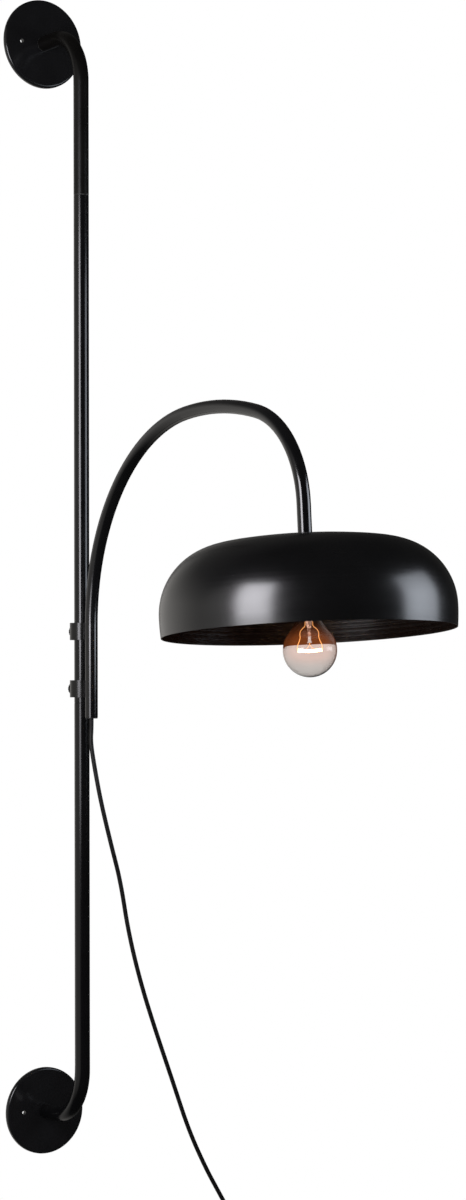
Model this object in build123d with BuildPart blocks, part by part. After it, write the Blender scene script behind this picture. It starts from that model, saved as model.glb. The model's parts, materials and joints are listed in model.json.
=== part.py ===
from build123d import *
import os
from math import asin, cos, degrees, radians, sin, sqrt

# Hanging pendant wall sconce, in millimetres.
# The wall is the plane Y = 0, the lamp stands off it towards -Y, and +Z is up.
# The origin is the centre of the upper wall plate's back face.

# Fits
slip = 0.05  # radial gap of a turned piece in its hole
seat = 0.05  # gap between two faces that are clamped or bonded together

# Wall plates
plate_spacing = 1362.0
plate_dia = 111.0
plate_thick = 6.0
plate_round = 3.3
wall_hole_spacing = 64.0
wall_hole_dia = 5.0

# Screw that holds a pole elbow to its plate
plate_screw_dia = 8.0
plate_screw_head = 16.0
plate_screw_length = 22.0
plate_screw_sink = 0.3
plate_screw_hex = 5.0
plate_screw_hex_depth = 3.0
elbow_plug_length = 22.0

# Pole
pole_dia = 19.0
pole_wall = 1.5
pole_standoff = 99.0
elbow_radius = 64.0
upper_seam_z = -205.5
lower_seam_z = -838.0
seam_chamfer = 0.4
joint_plug_length = 20.0
joint_stud_dia = 10.0
joint_stud_reach = 16.0

# Arc arm, described from its lower end upwards in the plane X = 0
arm_dia = 16.0
arm_wall = 1.5
arm_offset = 23.5  # from the pole's axis
arm_bottom_z = -856.0
arm_bend_z = -740.0
arm_bends = ((246.0, 83.8), (440.0, 19.6), (123.0, 72.3))  # radius and turn of each bend
arm_drop = 35.0  # straight run down to the shade

# Clamp collars that carry the arm on the pole
collar_dia = 30.0
collar_height = 21.4
upper_collar_z = -748.7
lower_collar_z = -820.3
saddle_width = 9.0
liner_wall = 1.5
liner_split = 2.0
thumb_screw_dia = 5.0
thumb_head_dia = 16.0
thumb_head_thick = 5.5
thumb_head_dome = 2.0
thumb_grooves = 20
thumb_groove_dia = 1.2
upper_head_gap = 0.4  # between the collar and the screw's head
lower_head_gap = 2.4

# Spun shade, described on its own axis from its crown downwards
shade_crown_radius = 676.0
shade_shoulder_radius = 77.0
shade_dia = 330.0
shade_height = 107.5
shade_rim_inset = 1.2
shade_thick = 1.2
shade_rim_round = 0.4

# Hollow threaded nipple, washer and nut that hold the shade
nipple_dia = 10.0
nipple_bore = 6.1
nipple_grip = 14.0  # length inside the arm
end_plug_length = 16.0
washer_dia = 30.0
washer_thick = 1.6
nut_flats = 14.0
nut_thick = 4.0

# Lamp socket
socket_cap_dia = 41.0
socket_cap_height = 20.0
socket_cap_slope = 5.0
socket_cap_neck = 6.0
socket_wall = 2.0
socket_bottom = 74.0
socket_floor_thick = 6.0
socket_shell_wall = 0.9
socket_shell_height = 26.0
socket_shell_hole_dia = 22.0
contact_dia = 8.0
contact_thick = 0.8
rivet_dia = 3.0
grip_dia = 12.0
grip_height = 6.0

# Bulb, with a 26 mm screw base
bulb_dia = 60.0
bulb_centre_depth = 126.3
bulb_length = 110.0
bulb_neck_radius = 45.0
bulb_neck_dia = 24.0
bulb_glass_wall = 0.8
bulb_base_dia = 26.2
bulb_base_root_dia = 25.2
bulb_base_bore = 24.3
bulb_base_height = 23.5
bulb_threads = 4
bulb_tip_dia = 9.2
bulb_tip_height = 1.0
bulb_insulator_height = 4.2
stem_dia = 5.0
stem_flare = 4.0
stem_to_filament = 5.5
filament_span = 26.0
filament_dia = 1.0
filament_turn = -33.0  # about the lamp's axis, from +X
filament_wire_dia = 0.7
filament_wire_start = 94.0

# Cord
cord_dia = 5.5
cord_points = (  # corners of the hanging stretch, from the arm to the switch
    (0.0, -122.5, -857.25),
    (0.0, -122.5, -870.0),
    (-1.6, -123.1, -886.0),
    (1.0, -127.2, -915.0),
    (6.8, -133.4, -960.0),
    (20.5, -135.2, -1014.0),
    (34.5, -135.0, -1061.0),
    (45.8, -134.6, -1124.0),
    (63.5, -134.9, -1189.0),
    (85.5, -135.0, -1251.0),
    (111.0, -134.8, -1317.0),
    (135.0, -134.6, -1381.0),
    (160.0, -134.8, -1431.0),
    (179.2, -134.8, -1463.0),
    (197.0, -134.8, -1492.3),
)
bush_flange_dia = 15.2
bush_flange_thick = 1.2
bush_length = 10.0

# In-line switch on the cord
switch_length = 50.0
switch_width = 24.0
switch_thick = 18.0
switch_corner = 10.0
switch_edge_round = 3.0
switch_grip = 8.0  # length of cord held in each end
switch_pocket_depth = 6.0
window_length = 17.0
window_width = 9.0
rocker_width = 8.6
rocker_radius = 8.2
rocker_depth = 3.0
rocker_centre_height = 4.2
rocker_end_height = 5.2
rocker_tilt = 7.0
rocker_pin_height = 5.0
rocker_pin_dia = 2.0
rocker_pin_length = 15.0
half_screw_dia = 2.2
half_screw_head = 4.4
half_screw_length = 11.0
half_screw_places = ((16.0, 7.0), (-16.0, -7.0))

# Put-away coil of cord, wound in two layers
coil_radius = 40.0
coil_turns = 3  # in the first layer
coil_pitch = 6.1
coil_lead = 34.5  # straight run from the switch
coil_tail = 33.0  # straight run into the plug
tie_width = 6.0
tie_thick = 1.2
tie_gap = 0.35
tie_corner = 2.5

# Plug with two flat blades
plug_relief_top_dia = 6.6
plug_relief_dia = 9.8
plug_relief_length = 22.0
plug_width = 24.0
plug_thick = 17.0
plug_length = 25.0
plug_corner = 5.0
plug_edge_round = 2.0
plug_grip = 13.0  # length of cord held in the plug
blade_width = 6.35
blade_thick = 1.5
blade_length = 17.0
blade_grip = 8.0
blade_spacing = 12.7
blade_hole_dia = 3.2
blade_hole_reach = 11.7

# Sizes that follow from the ones above
pole_bore = pole_dia - 2 * pole_wall
arm_bore = arm_dia - 2 * arm_wall
arm_y = -(pole_standoff + arm_offset)
liner_bore = pole_dia + 2 * slip
liner_dia = liner_bore + 2 * liner_wall
collar_bore = liner_dia + 2 * slip
bush_bottom_z = arm_bottom_z - bush_flange_thick


def write(piece, label):
    piece.part.label = label
    export_step(piece.part, f"parts/{label}.step")


# ---------------------------------------------------------------- places


def room_plane(height, depth=0.0):
    """Plane parallel to the wall that faces the room."""
    return Plane(origin=(0, -depth, height), x_dir=(1, 0, 0), z_dir=(0, -1, 0))


def wall_plane(height, depth=0.0):
    """Plane parallel to the wall that faces the wall."""
    return Plane(origin=(0, -depth, height), x_dir=(1, 0, 0), z_dir=(0, 1, 0))


def arm_line(start_z, extra):
    """The arm's centre line on Plane.YZ, from start_z to extra past its end."""
    last = Line((arm_y, start_z), (arm_y, arm_bend_z))
    for bend_radius, turn in arm_bends:
        last = JernArc(start=last @ 1, tangent=last % 1, radius=bend_radius, arc_size=turn)
    return Line(last @ 1, last @ 1 + (last % 1) * (arm_drop + extra))


def rounded_run(points):
    """Straight runs joined by arcs, each as wide as the shorter of its two runs allows."""
    corners = [Vector(*point) for point in points]
    start = corners[0]
    for before, corner, after in zip(corners, corners[1:], corners[2:]):
        arriving = corner - before
        leaving = after - corner
        cut = 0.45 * min(arriving.length, leaving.length)
        bend_start = corner - arriving.normalized() * cut
        bend_end = corner + leaving.normalized() * cut
        Line(start, bend_start)
        TangentArc(bend_start, bend_end, tangent=arriving)
        start = bend_end
    Line(start, corners[-1])


with BuildLine(Plane.YZ):
    arm_end = arm_line(arm_bottom_z, 0)

# The lamp hangs on the arm's last straight run, and its depths are measured from the shade's crown.
crown = arm_end @ 1
lamp_up = (arm_end % 1) * -1
lamp_section = Plane(origin=crown, x_dir=(1, 0, 0), z_dir=Vector(1, 0, 0).cross(lamp_up))
lamp_axis = Axis(crown, lamp_up)


def lamp_plane(depth):
    """Plane square to the lamp's axis that faces upwards."""
    return Plane(origin=crown - lamp_up * depth, x_dir=(1, 0, 0), z_dir=lamp_up)


def turned(outline):
    """A piece turned on the lamp's axis, from its radii and depths."""
    with BuildPart() as piece:
        with BuildSketch(lamp_section):
            with BuildLine():
                Polyline(*[(radius, -depth) for radius, depth in outline], close=True)
            make_face()
        revolve(axis=lamp_axis)
    return piece


def ring(outer_dia, bore_dia, top, bottom):
    """A plain ring on the lamp's axis."""
    outer = outer_dia / 2
    inner = bore_dia / 2
    return turned(((inner, top), (outer, top), (outer, bottom), (inner, bottom)))


# ---------------------------------------------------------------- wall plates and pole


def wall_plate(height):
    with BuildPart() as plate:
        with BuildSketch(room_plane(height)):
            Circle(plate_dia / 2)
            with GridLocations(wall_hole_spacing, 0, 2, 1):
                Circle(wall_hole_dia / 2, mode=Mode.SUBTRACT)
        extrude(amount=plate_thick)
        rims = plate.edges().filter_by(GeomType.CIRCLE).group_by(SortBy.RADIUS)[-1]
        fillet(rims.sort_by(Axis.Y)[0], plate_round)
        with Locations(wall_plane(height)):
            CounterSinkHole(
                radius=plate_screw_dia / 2 + slip,
                counter_sink_radius=plate_screw_head / 2 + plate_screw_sink,
                counter_sink_angle=90,
            )
    return plate


def plate_screw(height):
    head = plate_screw_head / 2
    shank = plate_screw_dia / 2
    top = -plate_screw_sink
    with BuildPart() as screw:
        with BuildSketch(Plane.XY.offset(height)):
            with BuildLine():
                Polyline(
                    (0, top),
                    (head, top),
                    (shank, top - head + shank),
                    (shank, top - plate_screw_length),
                    (0, top - plate_screw_length),
                    close=True,
                )
            make_face()
        revolve(axis=Axis((0, 0, height), (0, 1, 0)))
        with BuildSketch(room_plane(height, plate_screw_sink)):
            RegularPolygon(plate_screw_hex / 2, 6, major_radius=False)
        extrude(amount=plate_screw_hex_depth, mode=Mode.SUBTRACT)
    return screw


def elbow_plug(height):
    """Tapped plug welded into the elbow's wall end."""
    with BuildPart() as plug:
        with BuildSketch(room_plane(height, plate_thick + seat)):
            Circle(pole_bore / 2 - slip)
            Circle(plate_screw_dia / 2 + slip, mode=Mode.SUBTRACT)
        extrude(amount=elbow_plug_length)
    return plug


def pole_elbow(height, seam_z):
    """Tube from the plate out into the room and round to the seam."""
    with BuildPart() as elbow:
        with BuildLine(Plane.YZ) as centre:
            FilletPolyline(
                (-plate_thick - seat, height),
                (-pole_standoff, height),
                (-pole_standoff, seam_z),
                radius=elbow_radius,
            )
        with BuildSketch(Plane(origin=centre.line @ 0, z_dir=centre.line % 0)):
            Circle(pole_dia / 2)
            Circle(pole_bore / 2, mode=Mode.SUBTRACT)
        sweep()
        seam_rims = elbow.edges().filter_by(lambda edge: abs(edge.center().Z - seam_z) < 0.01)
        chamfer(seam_rims.sort_by(SortBy.LENGTH)[-1], seam_chamfer)
    return elbow


def middle_pole():
    with BuildPart() as tube:
        with BuildSketch(Plane.XY.offset(lower_seam_z + seat)):
            with Locations((0, -pole_standoff)):
                Circle(pole_dia / 2)
                Circle(pole_bore / 2, mode=Mode.SUBTRACT)
        extrude(amount=upper_seam_z - lower_seam_z - 2 * seat)
        chamfer(tube.edges().filter_by(GeomType.CIRCLE).group_by(SortBy.RADIUS)[-1], seam_chamfer)
    return tube


def seam_socket(seam_z):
    """Tapped plug inside the tube above a seam."""
    with BuildPart() as socket:
        with BuildSketch(Plane.XY.offset(seam_z + seat)):
            with Locations((0, -pole_standoff)):
                Circle(pole_bore / 2 - slip)
                Circle(joint_stud_dia / 2 + slip, mode=Mode.SUBTRACT)
        extrude(amount=joint_plug_length)
    return socket


def seam_stud(seam_z):
    """Plug inside the tube below a seam, with the stud that screws into the tube above."""
    with BuildPart() as stud:
        with BuildSketch(Plane.XY.offset(seam_z)):
            with Locations((0, -pole_standoff)):
                Circle(pole_bore / 2 - slip)
        extrude(amount=-joint_plug_length)
        with BuildSketch(Plane.XY.offset(seam_z)):
            with Locations((0, -pole_standoff)):
                Circle(joint_stud_dia / 2)
        extrude(amount=joint_stud_reach)
        chamfer(stud.edges().group_by(Axis.Z)[-1], seam_chamfer)
    return stud


# ---------------------------------------------------------------- clamps


def clamp_collar(height):
    """Round collar on the pole with a saddle that is brazed to the arm."""
    with BuildPart() as collar:
        with BuildSketch(Plane.XY.offset(height - collar_height / 2)):
            with Locations((0, -pole_standoff)):
                Circle(collar_dia / 2)
            with Locations((0, -pole_standoff - arm_offset / 2)):
                Rectangle(saddle_width, arm_offset - saddle_width)
            with Locations((0, -pole_standoff)):
                Circle(collar_bore / 2, mode=Mode.SUBTRACT)
            with Locations((0, arm_y)):
                Circle(arm_dia / 2 + seat, mode=Mode.SUBTRACT)
        extrude(amount=collar_height)
        with BuildSketch(wall_plane(height, pole_standoff)):
            Circle(thumb_screw_dia / 2 + slip)
        extrude(amount=collar_dia, mode=Mode.SUBTRACT)
    return collar


def collar_liner(height):
    """Split nylon ring between a collar and the pole."""
    with BuildPart() as liner:
        with BuildSketch(Plane.XY.offset(height - collar_height / 2)):
            with Locations((0, -pole_standoff)):
                Circle(liner_dia / 2)
                Circle(liner_bore / 2, mode=Mode.SUBTRACT)
            with Locations((liner_dia / 2, -pole_standoff)):
                Rectangle(liner_dia / 2, liner_split, mode=Mode.SUBTRACT)
        extrude(amount=collar_height)
    return liner


def thumb_screw(height, head_gap):
    """Round-headed screw through the back of a collar, its tip on the liner."""
    tip = liner_dia / 2 + seat
    start = collar_dia / 2 + head_gap
    end = start + thumb_head_thick
    edge = end - thumb_head_dome
    shank = thumb_screw_dia / 2
    rim = thumb_head_dia / 2
    with BuildPart() as screw:
        with BuildSketch(Plane(origin=(0, -pole_standoff, height))):
            with BuildLine():
                Polyline((0, end), (0, tip), (shank, tip), (shank, start), (rim, start), (rim, edge))
                TangentArc((0, end), (rim, edge), tangent=(1, 0))
            make_face()
        revolve(axis=Axis((0, -pole_standoff, height), (0, 1, 0)))
        with BuildSketch(wall_plane(height, pole_standoff - start)):
            with PolarLocations(rim, thumb_grooves):
                Circle(thumb_groove_dia / 2)
        extrude(amount=thumb_head_thick, mode=Mode.SUBTRACT)
    return screw


# ---------------------------------------------------------------- arm


def arm_tube():
    with BuildPart() as tube:
        with BuildLine(Plane.YZ):
            arm_line(arm_bottom_z, -seat)
        with BuildSketch(Plane.XY.offset(arm_bottom_z)):
            with Locations((0, arm_y)):
                Circle(arm_dia / 2)
                Circle(arm_bore / 2, mode=Mode.SUBTRACT)
        sweep()
    return tube


def cord_bush():
    """Bush in the arm's lower end, where the cord comes out."""
    with BuildPart() as bush:
        with BuildSketch(Plane.XY.offset(bush_bottom_z)):
            with Locations((0, arm_y)):
                Circle(bush_flange_dia / 2)
        extrude(amount=bush_flange_thick - seat)
        with BuildSketch(Plane.XY.offset(bush_bottom_z)):
            with Locations((0, arm_y)):
                Circle(arm_bore / 2 - slip)
        extrude(amount=bush_flange_thick + bush_length)
        with BuildSketch(Plane.XY.offset(bush_bottom_z)):
            with Locations((0, arm_y)):
                Circle(cord_dia / 2 + slip)
        extrude(amount=bush_flange_thick + bush_length, mode=Mode.SUBTRACT)
    return bush


# ---------------------------------------------------------------- shade and its fixing

washer_sag = (washer_dia / 2) ** 2 / (2 * (shade_crown_radius - shade_thick))
washer_top = shade_thick + washer_sag + seat
nut_top = washer_top + washer_thick + seat
cap_top = nut_top + nut_thick + seat
cap_bottom = cap_top + socket_cap_height
bulb_tip = bulb_centre_depth + bulb_dia / 2 - bulb_length
floor_bottom = bulb_tip - seat - contact_thick
floor_top = floor_bottom - socket_floor_thick
neck_bottom = cap_top + socket_wall + socket_cap_neck
lead_end = neck_bottom + seat + grip_height


def spun_shade():
    crown_reach = shade_dia / 2 - shade_shoulder_radius
    crown_swing = shade_crown_radius - shade_shoulder_radius
    crown_turn = degrees(asin(crown_reach / crown_swing))
    belly_depth = shade_crown_radius - crown_swing * cos(radians(crown_turn))
    skirt = shade_height - belly_depth
    skirt_radius = (skirt**2 + shade_rim_inset**2) / (2 * shade_rim_inset)
    skirt_turn = degrees(asin(skirt / skirt_radius))
    bends = (
        (shade_crown_radius, crown_turn),
        (shade_shoulder_radius, 90 - crown_turn),
        (skirt_radius, skirt_turn),
    )

    def wall_line(inset):
        """The shade's section from crown to rim, set in from its outer face."""
        start = Vector(0, -inset)
        heading = Vector(1, 0)
        for bend_radius, turn in bends:
            arc = JernArc(start=start, tangent=heading, radius=bend_radius - inset, arc_size=-turn)
            start = arc @ 1
            heading = arc % 1
        return start

    with BuildPart() as shade:
        with BuildSketch(lamp_section):
            with BuildLine():
                outer_rim = wall_line(0)
                inner_rim = wall_line(shade_thick)
                Line(outer_rim, inner_rim)
                Line((0, 0), (0, -shade_thick))
            make_face()
        revolve(axis=lamp_axis)
        rims = shade.edges().filter_by(GeomType.CIRCLE).sort_by(lamp_axis)[:2]
        fillet(rims, shade_rim_round)
        with BuildSketch(lamp_plane(-shade_thick)):
            Circle(nipple_dia / 2 + slip)
        extrude(amount=-3 * shade_thick, mode=Mode.SUBTRACT)
    return shade


def shade_nut():
    with BuildPart() as nut:
        with BuildSketch(lamp_plane(nut_top)):
            RegularPolygon(nut_flats / 2, 6, major_radius=False)
            Circle(nipple_dia / 2 + slip, mode=Mode.SUBTRACT)
        extrude(amount=-nut_thick)
    return nut


def arm_lead():
    """The cord's own run inside the arm, from the bush to the socket."""
    with BuildPart() as lead:
        with BuildLine(Plane.YZ):
            arm_line(bush_bottom_z, lead_end)
        with BuildSketch(Plane.XY.offset(bush_bottom_z)):
            with Locations((0, arm_y)):
                Circle(cord_dia / 2)
        sweep()
    return lead


def socket_cap():
    outer = socket_cap_dia / 2
    bore = nipple_dia / 2 + slip
    neck = bore + socket_wall
    flat = outer - socket_cap_slope
    return turned((
        (bore, cap_top),
        (flat, cap_top),
        (outer, cap_top + socket_cap_slope),
        (outer, cap_bottom),
        (outer - socket_wall, cap_bottom),
        (outer - socket_wall, cap_top + socket_cap_slope + socket_wall / 2),
        (flat - socket_wall / 2, cap_top + socket_wall),
        (neck, cap_top + socket_wall),
        (neck, neck_bottom),
        (bore, neck_bottom),
    ))


def socket_body():
    """Tubular body with the floor that carries the contacts."""
    outer = socket_cap_dia / 2
    upper = outer - socket_wall
    lower = bulb_base_dia / 2 + 2 * slip + socket_shell_wall + slip
    return turned((
        (upper, cap_bottom + seat),
        (outer, cap_bottom + seat),
        (outer, socket_bottom),
        (lower, socket_bottom),
        (lower, floor_bottom),
        (rivet_dia / 2 + slip, floor_bottom),
        (rivet_dia / 2 + slip, floor_top),
        (upper, floor_top),
    ))


def screw_shell():
    """Thin shell that the bulb's base screws into, with a lip on the floor."""
    inner = bulb_base_dia / 2 + 2 * slip
    outer = inner + socket_shell_wall
    lip = socket_shell_hole_dia / 2
    top = floor_bottom + seat
    return turned((
        (lip, top),
        (outer, top),
        (outer, top + socket_shell_height),
        (inner, top + socket_shell_height),
        (inner, top + socket_shell_wall),
        (lip, top + socket_shell_wall),
    ))


def centre_contact():
    """Contact under the floor, with its rivet through the floor."""
    return turned((
        (0, floor_bottom + contact_thick),
        (contact_dia / 2, floor_bottom + contact_thick),
        (contact_dia / 2, floor_bottom + seat),
        (rivet_dia / 2, floor_bottom + seat),
        (rivet_dia / 2, floor_top - seat),
        (rivet_dia, floor_top - seat),
        (rivet_dia, floor_top - rivet_dia / 2),
        (0, floor_top - rivet_dia / 2),
    ))


# ---------------------------------------------------------------- bulb

insulator_top = bulb_tip + bulb_tip_height
base_top = insulator_top + bulb_insulator_height
base_bottom = base_top + bulb_base_height
glass_top = base_bottom - 5.0
neck_swing = bulb_neck_dia / 2 + bulb_neck_radius
sphere_swing = bulb_dia / 2 + bulb_neck_radius
neck_turn = degrees(asin(sqrt(sphere_swing**2 - neck_swing**2) / sphere_swing))
neck_depth = bulb_centre_depth - sphere_swing * sin(radians(neck_turn))
filament_depth = bulb_centre_depth
stem_end = filament_depth - stem_to_filament


def bulb_base():
    """Thin threaded base."""
    crest = bulb_base_dia / 2
    root = bulb_base_root_dia / 2
    bore = bulb_base_bore / 2
    thread = bulb_base_height / (bulb_threads + 1)
    outline = [(bore, base_top), (root, base_top)]
    for count in range(bulb_threads):
        outline.append((root, base_top + thread * (count + 0.3)))
        outline.append((crest, base_top + thread * (count + 0.6)))
        outline.append((root, base_top + thread * (count + 0.9)))
    outline += [(root, base_bottom), (bore, base_bottom)]
    return turned(outline)


def base_insulator():
    return turned((
        (0, insulator_top + seat),
        (bulb_tip_dia / 2, insulator_top + seat),
        (bulb_base_bore / 2, base_top - seat),
        (0, base_top - seat),
    ))


def bulb_contact():
    return turned((
        (0, bulb_tip),
        (bulb_tip_dia / 2 - 1, bulb_tip),
        (bulb_tip_dia / 2, insulator_top),
        (0, insulator_top),
    ))


def bulb_glass():
    def glass_line(inset):
        """The glass from its neck to its lowest point, set in from its outer face."""
        neck = Line((bulb_neck_dia / 2 - inset, -glass_top), (bulb_neck_dia / 2 - inset, -neck_depth))
        shoulder = JernArc(
            start=neck @ 1, tangent=neck % 1, radius=bulb_neck_radius + inset, arc_size=neck_turn
        )
        bowl = JernArc(
            start=shoulder @ 1,
            tangent=shoulder % 1,
            radius=bulb_dia / 2 - inset,
            arc_size=-(90 + neck_turn),
        )
        return neck @ 0, bowl @ 1

    with BuildPart() as glass:
        with BuildSketch(lamp_section):
            with BuildLine():
                outer_top, outer_low = glass_line(0)
                inner_top, inner_low = glass_line(bulb_glass_wall)
                Line(outer_top, inner_top)
                Line(outer_low, inner_low)
            make_face()
        revolve(axis=lamp_axis)
    return glass


def bulb_stem():
    """Glass stem with the flare that closes the bulb's neck."""
    flare = bulb_neck_dia / 2 - bulb_glass_wall - slip
    stem = stem_dia / 2
    return turned((
        (0, glass_top),
        (flare, glass_top),
        (flare, glass_top + 1.0),
        (stem, glass_top + stem_flare),
        (stem, stem_end - 1.0),
        (stem - 1.0, stem_end),
        (0, stem_end),
    ))


filament_dir = Vector(1, 0, 0).rotate(Axis((0, 0, 0), lamp_up), filament_turn)
filament_plane = Plane(origin=crown, x_dir=filament_dir, z_dir=filament_dir.cross(lamp_up))


def filament_wire(side):
    """Wire that leaves the stem and bows out to one end of the filament."""
    inner = side * (stem_dia / 2 + filament_wire_dia / 2 + seat)
    outer = side * filament_span / 2
    start = -filament_wire_start
    end = -filament_depth
    with BuildPart() as wire:
        with BuildLine(filament_plane):
            straight = Line((inner, start), (inner, start - 6))
            TangentArc(straight @ 1, filament_plane.from_local_coords((outer, end)), tangent=straight % 1)
        with BuildSketch(Plane(origin=straight @ 0, z_dir=straight % 0)):
            Circle(filament_wire_dia / 2)
        sweep()
    return wire


def bulb_filament():
    start = filament_span / 2 - filament_wire_dia - seat
    with BuildPart() as filament:
        with BuildLine(filament_plane) as run:
            Line((-start, -filament_depth), (start, -filament_depth))
        with BuildSketch(Plane(origin=run.line @ 0, z_dir=run.line % 0)):
            Circle(filament_dia / 2)
        sweep()
    return filament


# ---------------------------------------------------------------- hanging cord and its switch

cord_end = Vector(*cord_points[-1])
heading = (cord_end - Vector(*cord_points[-2])).normalized()
switch_centre = cord_end + heading * (switch_length / 2 - switch_grip)
switch_plane = Plane(origin=switch_centre, x_dir=heading, z_dir=(0, -1, 0))
across = switch_plane.y_dir
pin_centre = switch_centre + switch_plane.z_dir * rocker_pin_height


def hanging_cord():
    with BuildPart() as cord:
        with BuildLine() as centre:
            rounded_run(cord_points)
        with BuildSketch(Plane(origin=centre.line @ 0, z_dir=centre.line % 0)):
            Circle(cord_dia / 2)
        sweep()
    return cord


def switch_half(side):
    """Half of the switch's case, on the room's side (1) or the wall's side (-1)."""
    face = switch_plane.offset(side * seat / 2)
    height = side * (switch_thick - seat) / 2
    with BuildPart() as half:
        with BuildSketch(face):
            RectangleRounded(switch_length, switch_width, switch_corner)
        extrude(amount=height)
        outer_face = half.faces().sort_by(Axis.Y)[0 if side > 0 else -1]
        fillet(outer_face.edges(), switch_edge_round)
        with BuildSketch(face):
            Rectangle(window_length, window_width)
        extrude(amount=height if side > 0 else -switch_pocket_depth, mode=Mode.SUBTRACT)
        with BuildSketch(Plane(origin=switch_centre, z_dir=heading)):
            Circle(cord_dia / 2 + slip)
        extrude(amount=switch_length / 2, both=True, mode=Mode.SUBTRACT)
        if side > 0:
            with BuildSketch(Plane(origin=pin_centre, z_dir=across)):
                Circle(rocker_pin_dia / 2 + slip)
            extrude(amount=rocker_pin_length / 2 + slip, both=True, mode=Mode.SUBTRACT)
        else:
            with BuildSketch(switch_plane.offset(-switch_thick / 2)):
                with Locations(*half_screw_places):
                    Circle(half_screw_head / 2 + slip)
            extrude(amount=half_screw_dia, mode=Mode.SUBTRACT)
        with BuildSketch(switch_plane.offset(-switch_thick / 2)):
            with Locations(*half_screw_places):
                Circle(half_screw_dia / 2 + slip)
        extrude(amount=half_screw_dia + half_screw_length, mode=Mode.SUBTRACT)
    return half


def half_screw(place):
    """Screw from the wall's side that holds the switch's halves together."""
    with BuildPart() as screw:
        with BuildSketch(switch_plane.offset(half_screw_dia - switch_thick / 2 - seat)):
            with Locations(place):
                Circle(half_screw_dia / 2)
        extrude(amount=half_screw_length)
        with BuildSketch(switch_plane.offset(half_screw_dia - switch_thick / 2 - seat)):
            with Locations(place):
                Circle(half_screw_head / 2)
        extrude(amount=-half_screw_dia / 2)
    return screw


def switch_rocker():
    """Rocker with two raised ends, drawn in its off position."""
    low = sqrt(rocker_radius**2 - rocker_depth**2)
    high = sqrt(rocker_radius**2 - rocker_end_height**2)
    tilted = heading.rotate(Axis((0, 0, 0), across), rocker_tilt)
    plane = Plane(origin=pin_centre, x_dir=tilted, z_dir=across * -1)
    with BuildPart() as rocker:
        with BuildSketch(plane):
            with BuildLine():
                Line((-low, -rocker_depth), (low, -rocker_depth))
                ThreePointArc((low, -rocker_depth), (rocker_radius, 0), (high, rocker_end_height))
                Polyline((high, rocker_end_height), (0, rocker_centre_height), (-high, rocker_end_height))
                ThreePointArc((-high, rocker_end_height), (-rocker_radius, 0), (-low, -rocker_depth))
            make_face()
            Circle(rocker_pin_dia / 2 + slip, mode=Mode.SUBTRACT)
        extrude(amount=rocker_width / 2, both=True)
    return rocker


def rocker_pin():
    with BuildPart() as pin:
        with BuildSketch(Plane(origin=pin_centre, z_dir=across)):
            Circle(rocker_pin_dia / 2)
        extrude(amount=rocker_pin_length / 2, both=True)
    return pin


# ---------------------------------------------------------------- put-away coil

coil_entry = switch_centre + heading * (switch_length / 2 + coil_lead)
coil_centre = coil_entry - across * coil_radius
layer_step = Vector(0, -coil_pitch, 0)
exit_centre = coil_centre - across * coil_pitch + layer_step
coil_exit = exit_centre + Vector(coil_radius, 0, 0)
plug_entry = coil_exit - Vector(0, 0, coil_tail - plug_grip)


def coil_stops(turn_range):
    """Where the wound cord crosses the coil's middle line, turn by turn."""
    return [side * (coil_radius - coil_pitch * turn) for turn in turn_range for side in (1, -1)]


def coil_path():
    """In through the first layer, one climb, and out again through the second."""
    first = [coil_centre + across * stop for stop in coil_stops(range(coil_turns))]
    inner = coil_centre + across * (coil_radius - coil_pitch * coil_turns) + layer_step
    second = [inner]
    for turn in reversed(range(coil_turns - 1)):
        outward = coil_radius - coil_pitch * turn
        second.append(coil_centre - across * outward + layer_step)
        second.append(coil_centre + across * (outward - coil_pitch) + layer_step)
    Line(coil_entry - heading * (coil_lead + switch_grip), coil_entry)
    direction = heading
    for start, end in zip(first, first[1:]):
        TangentArc(start, end, tangent=direction)
        direction = direction * -1
    climb = inner - first[-1]
    middle = first[-1] + climb * 0.5 + direction * (climb.length / 2)
    TangentArc(first[-1], middle, tangent=direction)
    TangentArc(middle, inner, tangent=climb)
    direction = heading
    for start, end in zip(second, second[1:]):
        TangentArc(start, end, tangent=direction)
        direction = direction * -1
    TangentArc(second[-1], coil_exit, tangent=direction)
    Line(coil_exit, coil_exit - Vector(0, 0, coil_tail))


def cord_coil():
    with BuildPart() as coil:
        with BuildLine() as centre:
            coil_path()
        with BuildSketch(Plane(origin=centre.line @ 0, z_dir=centre.line % 0)):
            Circle(cord_dia / 2)
        sweep()
    return coil


def cord_tie():
    """Band round the coil's turns on the side away from the switch."""
    reach = coil_radius + cord_dia / 2
    inner_reach = coil_radius - coil_pitch * (coil_turns - 1) - cord_dia / 2
    depth = coil_pitch + cord_dia
    middle = coil_centre - across * ((reach + inner_reach) / 2) + layer_step * 0.5
    plane = Plane(origin=middle, x_dir=across, z_dir=heading)
    with BuildPart() as tie:
        with BuildSketch(plane):
            RectangleRounded(
                reach - inner_reach + 2 * (tie_gap + tie_thick),
                depth + 2 * (tie_gap + tie_thick),
                tie_corner + tie_thick,
            )
            RectangleRounded(
                reach - inner_reach + 2 * tie_gap, depth + 2 * tie_gap, tie_corner, mode=Mode.SUBTRACT
            )
        extrude(amount=tie_width / 2, both=True)
    return tie


# ---------------------------------------------------------------- plug

body_top = plug_entry.Z - plug_relief_length
body_bottom = body_top - plug_length


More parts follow.
